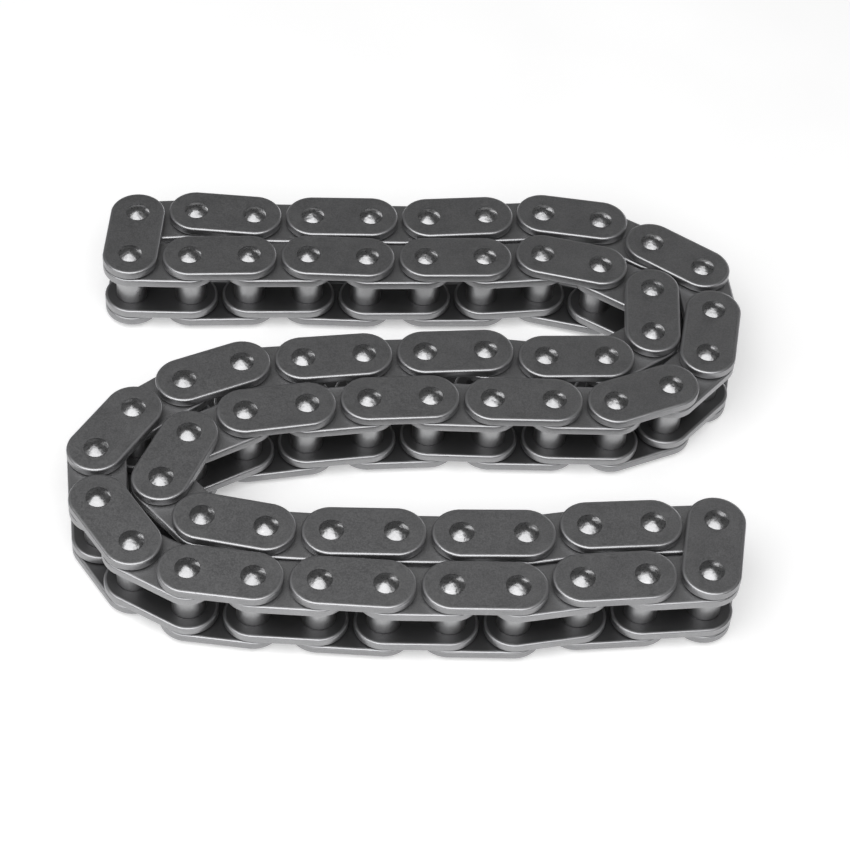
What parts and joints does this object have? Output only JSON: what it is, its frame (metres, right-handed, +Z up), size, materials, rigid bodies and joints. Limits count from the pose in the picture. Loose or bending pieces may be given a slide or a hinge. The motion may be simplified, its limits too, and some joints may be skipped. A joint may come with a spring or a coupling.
{
  "type": "endless bush chain",
  "caption": "Endless riveted bush chain of flat link plates, pins and bushes, lying on its side, folded double and laid in an S; its links swivel about their pins.",
  "frame": {"origin": "centre of the box round the chain as it lies, on the surface that its lower rivet ends stand on", "axes": "+X along the three runs, towards the end link that is the root; +Z up, along every pin"},
  "size_m": [0.1054, 0.0856, 0.0137],
  "materials": {
    "outer_plate_steel": "satin",
    "inner_plate_steel": "satin",
    "pin_steel": "polished",
    "bush_steel": "satin"
  },
  "bodies": {
    "end_link": {"end_link_top_plate": "outer_plate_steel", "end_link_bottom_plate": "outer_plate_steel", "end_link_front_pin": "pin_steel", "end_link_rear_pin": "pin_steel"},
    "inner_link_02": {"inner_link_02_top_plate": "inner_plate_steel", "inner_link_02_bottom_plate": "inner_plate_steel", "inner_link_02_near_bush": "bush_steel", "inner_link_02_far_bush": "bush_steel"},
    "outer_link_03": {"outer_link_03": "outer_plate_steel"},
    "inner_link_04": {"inner_link_04": "inner_plate_steel"},
    "link_pair_05_06": {"link_pair_05_06": "outer_plate_steel"},
    "link_pair_07_08": {"link_pair_07_08": "outer_plate_steel"},
    "outer_link_09": {"outer_link_09": "outer_plate_steel"},
    "inner_link_10": {"inner_link_10": "inner_plate_steel"},
    "outer_link_11": {"outer_link_11": "outer_plate_steel"},
    "inner_link_12": {"inner_link_12": "inner_plate_steel"},
    "outer_link_13": {"outer_link_13": "outer_plate_steel"},
    "inner_link_14": {"inner_link_14": "inner_plate_steel"},
    "outer_link_15": {"outer_link_15": "outer_plate_steel"},
    "link_pair_16_17": {"link_pair_16_17": "outer_plate_steel"},
    "link_pair_18_19": {"link_pair_18_19": "outer_plate_steel"},
    "inner_link_20": {"inner_link_20": "inner_plate_steel"},
    "outer_link_21": {"outer_link_21": "outer_plate_steel"},
    "inner_link_22": {"inner_link_22": "inner_plate_steel"},
    "outer_link_23": {"outer_link_23": "outer_plate_steel"},
    "inner_link_24": {"inner_link_24": "inner_plate_steel"},
    "outer_link_25": {"outer_link_25": "outer_plate_steel"},
    "inner_link_26": {"inner_link_26": "inner_plate_steel"},
    "link_pair_27_28": {"link_pair_27_28": "outer_plate_steel"},
    "outer_link_29": {"outer_link_29": "outer_plate_steel"},
    "inner_link_30": {"inner_link_30": "inner_plate_steel"},
    "outer_link_31": {"outer_link_31": "outer_plate_steel"},
    "inner_link_32": {"inner_link_32": "inner_plate_steel"},
    "link_pair_63_64": {"link_pair_63_64": "outer_plate_steel"},
    "inner_link_62": {"inner_link_62": "inner_plate_steel"},
    "outer_link_61": {"outer_link_61": "outer_plate_steel"},
    "link_pair_59_60": {"link_pair_59_60": "outer_plate_steel"},
    "inner_link_58": {"inner_link_58": "inner_plate_steel"},
    "outer_link_57": {"outer_link_57": "outer_plate_steel"},
    "inner_link_56": {"inner_link_56": "inner_plate_steel"},
    "outer_link_55": {"outer_link_55": "outer_plate_steel"},
    "inner_link_54": {"inner_link_54": "inner_plate_steel"},
    "outer_link_53": {"outer_link_53": "outer_plate_steel"},
    "inner_link_52": {"inner_link_52": "inner_plate_steel"},
    "outer_link_51": {"outer_link_51": "outer_plate_steel"},
    "inner_link_50": {"inner_link_50": "inner_plate_steel"},
    "link_pair_48_49": {"link_pair_48_49": "outer_plate_steel"},
    "outer_link_47": {"outer_link_47": "outer_plate_steel"},
    "inner_link_46": {"inner_link_46": "inner_plate_steel"},
    "outer_link_45": {"outer_link_45": "outer_plate_steel"},
    "inner_link_44": {"inner_link_44": "inner_plate_steel"},
    "outer_link_43": {"outer_link_43": "outer_plate_steel"},
    "inner_link_42": {"inner_link_42": "inner_plate_steel"},
    "outer_link_41": {"outer_link_41": "outer_plate_steel"},
    "link_pair_39_40": {"link_pair_39_40": "outer_plate_steel"},
    "inner_link_38": {"inner_link_38": "inner_plate_steel"},
    "link_pair_36_37": {"link_pair_36_37": "outer_plate_steel"},
    "outer_link_35": {"outer_link_35": "outer_plate_steel"},
    "inner_link_34": {"inner_link_34": "inner_plate_steel"},
    "outer_link_33": {"outer_link_33": "outer_plate_steel"}
  },
  "joints": [
    {"name": "pivot_01", "type": "hinge", "parent": "end_link", "child": "inner_link_02", "pos_m": [0.04181, -0.03554, 0.00686], "axis": [0, 0, 1], "range_deg": [-12.95, 0]},
    {"name": "pivot_02", "type": "hinge", "parent": "inner_link_02", "child": "outer_link_03", "pos_m": [0.03231, -0.03621, 0.00686], "axis": [0, 0, 1], "range_deg": [0, 1.83]},
    {"name": "pivot_03", "type": "hinge", "parent": "outer_link_03", "child": "inner_link_04", "pos_m": [0.0228, -0.03687, 0.00686], "axis": [0, 0, 1], "range_deg": [-3.19, 0]},
    {"name": "pivot_04", "type": "hinge", "parent": "inner_link_04", "child": "link_pair_05_06", "pos_m": [0.0134, -0.03836, 0.00686], "axis": [0, 0, 1], "range_deg": [0, 11.81]},
    {"name": "pivot_06", "type": "hinge", "parent": "link_pair_05_06", "child": "link_pair_07_08", "pos_m": [-0.00565, -0.03803, 0.00686], "axis": [0, 0, 1], "range_deg": [0, 4.88]},
    {"name": "pivot_08", "type": "hinge", "parent": "link_pair_07_08", "child": "outer_link_09", "pos_m": [-0.02465, -0.0367, 0.00686], "axis": [0, 0, 1], "range_deg": [0, 5.76]},
    {"name": "pivot_09", "type": "hinge", "parent": "outer_link_09", "child": "inner_link_10", "pos_m": [-0.03409, -0.03538, 0.00686], "axis": [0, 0, 1], "range_deg": [0, 24.45]},
    {"name": "pivot_10", "type": "hinge", "parent": "inner_link_10", "child": "outer_link_11", "pos_m": [-0.04225, -0.03047, 0.00686], "axis": [0, 0, 1], "range_deg": [0, 26.46]},
    {"name": "pivot_11", "type": "hinge", "parent": "outer_link_11", "child": "inner_link_12", "pos_m": [-0.04744, -0.02248, 0.00686], "axis": [0, 0, 1], "range_deg": [0, 26.98]},
    {"name": "pivot_12", "type": "hinge", "parent": "inner_link_12", "child": "outer_link_13", "pos_m": [-0.04827, -0.01299, 0.00686], "axis": [0, 0, 1], "range_deg": [0, 35.68]},
    {"name": "pivot_13", "type": "hinge", "parent": "outer_link_13", "child": "inner_link_14", "pos_m": [-0.04308, -0.005, 0.00686], "axis": [0, 0, 1], "range_deg": [0, 16.73]},
    {"name": "pivot_14", "type": "hinge", "parent": "inner_link_14", "child": "outer_link_15", "pos_m": [-0.03557, 0.00086, 0.00686], "axis": [0, 0, 1], "range_deg": [0, 13.23]},
    {"name": "pivot_15", "type": "hinge", "parent": "outer_link_15", "child": "link_pair_16_17", "pos_m": [-0.02681, 0.00458, 0.00686], "axis": [0, 0, 1], "range_deg": [0, 15.65]},
    {"name": "pivot_17", "type": "hinge", "parent": "link_pair_16_17", "child": "link_pair_18_19", "pos_m": [-0.00786, 0.00657, 0.00686], "axis": [0, 0, 1], "range_deg": [0, 0.687]},
    {"name": "pivot_19", "type": "hinge", "parent": "link_pair_18_19", "child": "inner_link_20", "pos_m": [0.01116, 0.00757, 0.00686], "axis": [0, 0, 1], "range_deg": [0, 6.7]},
    {"name": "pivot_20", "type": "hinge", "parent": "inner_link_20", "child": "outer_link_21", "pos_m": [0.02062, 0.00641, 0.00686], "axis": [0, 0, 1], "range_deg": [-12.49, 0]},
    {"name": "pivot_21", "type": "hinge", "parent": "outer_link_21", "child": "inner_link_22", "pos_m": [0.03014, 0.00658, 0.00686], "axis": [0, 0, 1], "range_deg": [-36.67, 0]},
    {"name": "pivot_22", "type": "hinge", "parent": "inner_link_22", "child": "outer_link_23", "pos_m": [0.03804, 0.0119, 0.00686], "axis": [0, 0, 1], "range_deg": [-51.15, 0]},
    {"name": "pivot_23", "type": "hinge", "parent": "outer_link_23", "child": "inner_link_24", "pos_m": [0.03887, 0.02139, 0.00686], "axis": [0, 0, 1], "range_deg": [-59.65, 0]},
    {"name": "pivot_24", "type": "hinge", "parent": "inner_link_24", "child": "outer_link_25", "pos_m": [0.03088, 0.02658, 0.00686], "axis": [0, 0, 1], "range_deg": [-16.6, 0]},
    {"name": "pivot_25", "type": "hinge", "parent": "outer_link_25", "child": "inner_link_26", "pos_m": [0.02164, 0.02888, 0.00686], "axis": [0, 0, 1], "range_deg": [-16.82, 0]},
    {"name": "pivot_26", "type": "hinge", "parent": "inner_link_26", "child": "link_pair_27_28", "pos_m": [0.01215, 0.02805, 0.00686], "axis": [0, 0, 1], "range_deg": [0, 5.5]},
    {"name": "pivot_28", "type": "hinge", "parent": "link_pair_27_28", "child": "outer_link_29", "pos_m": [-0.0069, 0.02772, 0.00686], "axis": [0, 0, 1], "range_deg": [0, 3.83]},
    {"name": "pivot_29", "type": "hinge", "parent": "outer_link_29", "child": "inner_link_30", "pos_m": [-0.01642, 0.02805, 0.00686], "axis": [0, 0, 1], "range_deg": [-2.37, 0]},
    {"name": "pivot_30", "type": "hinge", "parent": "inner_link_30", "child": "outer_link_31", "pos_m": [-0.02594, 0.02789, 0.00686], "axis": [0, 0, 1], "range_deg": [-0.368, 0]},
    {"name": "pivot_31", "type": "hinge", "parent": "outer_link_31", "child": "inner_link_32", "pos_m": [-0.03546, 0.02759, 0.00686], "axis": [0, 0, 1], "range_deg": [0, 2.66]},
    {"name": "pivot_64", "type": "hinge", "parent": "end_link", "child": "link_pair_63_64", "pos_m": [0.04363, -0.02619, 0.00686], "axis": [0, 0, 1], "range_deg": [-15.23, 0]},
    {"name": "pivot_62", "type": "hinge", "parent": "link_pair_63_64", "child": "inner_link_62", "pos_m": [0.0246, -0.02719, 0.00686], "axis": [0, 0, 1], "range_deg": [-6.51, 0]},
    {"name": "pivot_61", "type": "hinge", "parent": "inner_link_62", "child": "outer_link_61", "pos_m": [0.01519, -0.02868, 0.00686], "axis": [0, 0, 1], "range_deg": [0, 8.99]},
    {"name": "pivot_60", "type": "hinge", "parent": "outer_link_61", "child": "link_pair_59_60", "pos_m": [0.00567, -0.02868, 0.00686], "axis": [0, 0, 1], "range_deg": [0, 1.39]},
    {"name": "pivot_58", "type": "hinge", "parent": "link_pair_59_60", "child": "inner_link_58", "pos_m": [-0.01338, -0.02835, 0.00686], "axis": [0, 0, 1], "range_deg": [0, 4.01]},
    {"name": "pivot_57", "type": "hinge", "parent": "inner_link_58", "child": "outer_link_57", "pos_m": [-0.02288, -0.02768, 0.00686], "axis": [0, 0, 1], "range_deg": [0, 9.19]},
    {"name": "pivot_56", "type": "hinge", "parent": "outer_link_57", "child": "inner_link_56", "pos_m": [-0.0322, -0.0257, 0.00686], "axis": [0, 0, 1], "range_deg": [0, 38.14]},
    {"name": "main_fold", "type": "hinge", "parent": "inner_link_56", "child": "outer_link_55", "pos_m": [-0.03845, -0.01852, 0.00686], "axis": [0, 0, 1], "range_deg": [0, 66]},
    {"name": "pivot_54", "type": "hinge", "parent": "outer_link_55", "child": "inner_link_54", "pos_m": [-0.03457, -0.00981, 0.00686], "axis": [0, 0, 1], "range_deg": [0, 38.19]},
    {"name": "pivot_53", "type": "hinge", "parent": "inner_link_54", "child": "outer_link_53", "pos_m": [-0.02616, -0.00534, 0.00686], "axis": [0, 0, 1], "range_deg": [0, 18.26]},
    {"name": "pivot_52", "type": "hinge", "parent": "outer_link_53", "child": "inner_link_52", "pos_m": [-0.01675, -0.00385, 0.00686], "axis": [0, 0, 1], "range_deg": [0, 1.28]},
    {"name": "pivot_51", "type": "hinge", "parent": "inner_link_52", "child": "outer_link_51", "pos_m": [-0.0073, -0.00269, 0.00686], "axis": [0, 0, 1], "range_deg": [0, 3.27]},
    {"name": "pivot_50", "type": "hinge", "parent": "outer_link_51", "child": "inner_link_50", "pos_m": [0.00221, -0.00219, 0.00686], "axis": [0, 0, 1], "range_deg": [0, 4.56]},
    {"name": "pivot_49", "type": "hinge", "parent": "inner_link_50", "child": "link_pair_48_49", "pos_m": [0.01173, -0.00252, 0.00686], "axis": [0, 0, 1], "range_deg": [-0.562, 0]},
    {"name": "pivot_47", "type": "hinge", "parent": "link_pair_48_49", "child": "outer_link_47", "pos_m": [0.03078, -0.00286, 0.00686], "axis": [0, 0, 1], "range_deg": [-19.88, 0]},
    {"name": "pivot_46", "type": "hinge", "parent": "outer_link_47", "child": "inner_link_46", "pos_m": [0.03967, 0.00056, 0.00686], "axis": [0, 0, 1], "range_deg": [-23.64, 0]},
    {"name": "pivot_45", "type": "hinge", "parent": "inner_link_46", "child": "outer_link_45", "pos_m": [0.04629, 0.00741, 0.00686], "axis": [0, 0, 1], "range_deg": [-31.59, 0]},
    {"name": "pivot_44", "type": "hinge", "parent": "outer_link_45", "child": "inner_link_44", "pos_m": [0.04827, 0.01672, 0.00686], "axis": [0, 0, 1], "range_deg": [-16.02, 0]},
    {"name": "pivot_43", "type": "hinge", "parent": "inner_link_44", "child": "outer_link_43", "pos_m": [0.0476, 0.02623, 0.00686], "axis": [0, 0, 1], "range_deg": [-49.87, 0]},
    {"name": "pivot_42", "type": "hinge", "parent": "outer_link_43", "child": "inner_link_42", "pos_m": [0.0399, 0.03183, 0.00686], "axis": [0, 0, 1], "range_deg": [-3.81, 0]},
    {"name": "pivot_41", "type": "hinge", "parent": "inner_link_42", "child": "outer_link_41", "pos_m": [0.03182, 0.03687, 0.00686], "axis": [0, 0, 1], "range_deg": [-22.44, 0]},
    {"name": "pivot_40", "type": "hinge", "parent": "outer_link_41", "child": "link_pair_39_40", "pos_m": [0.02241, 0.03836, 0.00686], "axis": [0, 0, 1], "range_deg": [-12.41, 0]},
    {"name": "pivot_38", "type": "hinge", "parent": "link_pair_39_40", "child": "inner_link_38", "pos_m": [0.00341, 0.03703, 0.00686], "axis": [0, 0, 1], "range_deg": [0, 4.39]},
    {"name": "pivot_37", "type": "hinge", "parent": "inner_link_38", "child": "link_pair_36_37", "pos_m": [-0.00612, 0.03703, 0.00686], "axis": [0, 0, 1], "range_deg": [0, 0.391]},
    {"name": "pivot_35", "type": "hinge", "parent": "link_pair_36_37", "child": "outer_link_35", "pos_m": [-0.02517, 0.03703, 0.00686], "axis": [0, 0, 1], "range_deg": [0, 5.31]},
    {"name": "pivot_34", "type": "hinge", "parent": "outer_link_35", "child": "inner_link_34", "pos_m": [-0.03465, 0.03786, 0.00686], "axis": [0, 0, 1], "range_deg": [-8.57, 0]},
    {"name": "pivot_33", "type": "hinge", "parent": "inner_link_34", "child": "outer_link_33", "pos_m": [-0.04416, 0.0372, 0.00686], "axis": [0, 0, 1], "range_deg": [0, 9.24]}
  ],
  "couplings": [
    {"joint": "pivot_01", "follows": "main_fold", "ratio": -0.19614},
    {"joint": "pivot_02", "follows": "main_fold", "ratio": 0.027735},
    {"joint": "pivot_03", "follows": "main_fold", "ratio": -0.048247},
    {"joint": "pivot_04", "follows": "main_fold", "ratio": 0.17897},
    {"joint": "pivot_06", "follows": "main_fold", "ratio": 0.073946},
    {"joint": "pivot_08", "follows": "main_fold", "ratio": 0.087302},
    {"joint": "pivot_09", "follows": "main_fold", "ratio": 0.37047},
    {"joint": "pivot_10", "follows": "main_fold", "ratio": 0.40097},
    {"joint": "pivot_11", "follows": "main_fold", "ratio": 0.40876},
    {"joint": "pivot_12", "follows": "main_fold", "ratio": 0.54065},
    {"joint": "pivot_13", "follows": "main_fold", "ratio": 0.25348},
    {"joint": "pivot_14", "follows": "main_fold", "ratio": 0.20044},
    {"joint": "pivot_15", "follows": "main_fold", "ratio": 0.23715},
    {"joint": "pivot_17", "follows": "main_fold", "ratio": 0.010407},
    {"joint": "pivot_19", "follows": "main_fold", "ratio": 0.10154},
    {"joint": "pivot_20", "follows": "main_fold", "ratio": -0.18922},
    {"joint": "pivot_21", "follows": "main_fold", "ratio": -0.55555},
    {"joint": "pivot_22", "follows": "main_fold", "ratio": -0.77494},
    {"joint": "pivot_23", "follows": "main_fold", "ratio": -0.90373},
    {"joint": "pivot_24", "follows": "main_fold", "ratio": -0.25155},
    {"joint": "pivot_25", "follows": "main_fold", "ratio": -0.25481},
    {"joint": "pivot_26", "follows": "main_fold", "ratio": 0.083321},
    {"joint": "pivot_28", "follows": "main_fold", "ratio": 0.058089},
    {"joint": "pivot_29", "follows": "main_fold", "ratio": -0.035824},
    {"joint": "pivot_30", "follows": "main_fold", "ratio": -0.005571},
    {"joint": "pivot_31", "follows": "main_fold", "ratio": 0.040236},
    {"joint": "pivot_64", "follows": "main_fold", "ratio": -0.23079},
    {"joint": "pivot_62", "follows": "main_fold", "ratio": -0.098704},
    {"joint": "pivot_61", "follows": "main_fold", "ratio": 0.13614},
    {"joint": "pivot_60", "follows": "main_fold", "ratio": 0.021038},
    {"joint": "pivot_58", "follows": "main_fold", "ratio": 0.060777},
    {"joint": "pivot_57", "follows": "main_fold", "ratio": 0.13923},
    {"joint": "pivot_56", "follows": "main_fold", "ratio": 0.57785},
    {"joint": "pivot_54", "follows": "main_fold", "ratio": 0.57857},
    {"joint": "pivot_53", "follows": "main_fold", "ratio": 0.27666},
    {"joint": "pivot_52", "follows": "main_fold", "ratio": 0.019334},
    {"joint": "pivot_51", "follows": "main_fold", "ratio": 0.049458},
    {"joint": "pivot_50", "follows": "main_fold", "ratio": 0.06903},
    {"joint": "pivot_49", "follows": "main_fold", "ratio": -0.008515},
    {"joint": "pivot_47", "follows": "main_fold", "ratio": -0.3012},
    {"joint": "pivot_46", "follows": "main_fold", "ratio": -0.35812},
    {"joint": "pivot_45", "follows": "main_fold", "ratio": -0.47858},
    {"joint": "pivot_44", "follows": "main_fold", "ratio": -0.24273},
    {"joint": "pivot_43", "follows": "main_fold", "ratio": -0.75555},
    {"joint": "pivot_42", "follows": "main_fold", "ratio": -0.057788},
    {"joint": "pivot_41", "follows": "main_fold", "ratio": -0.34004},
    {"joint": "pivot_40", "follows": "main_fold", "ratio": -0.188},
    {"joint": "pivot_38", "follows": "main_fold", "ratio": 0.066541},
    {"joint": "pivot_37", "follows": "main_fold", "ratio": 0.00592},
    {"joint": "pivot_35", "follows": "main_fold", "ratio": 0.080478},
    {"joint": "pivot_34", "follows": "main_fold", "ratio": -0.12983},
    {"joint": "pivot_33", "follows": "main_fold", "ratio": 0.14001}
  ]
}
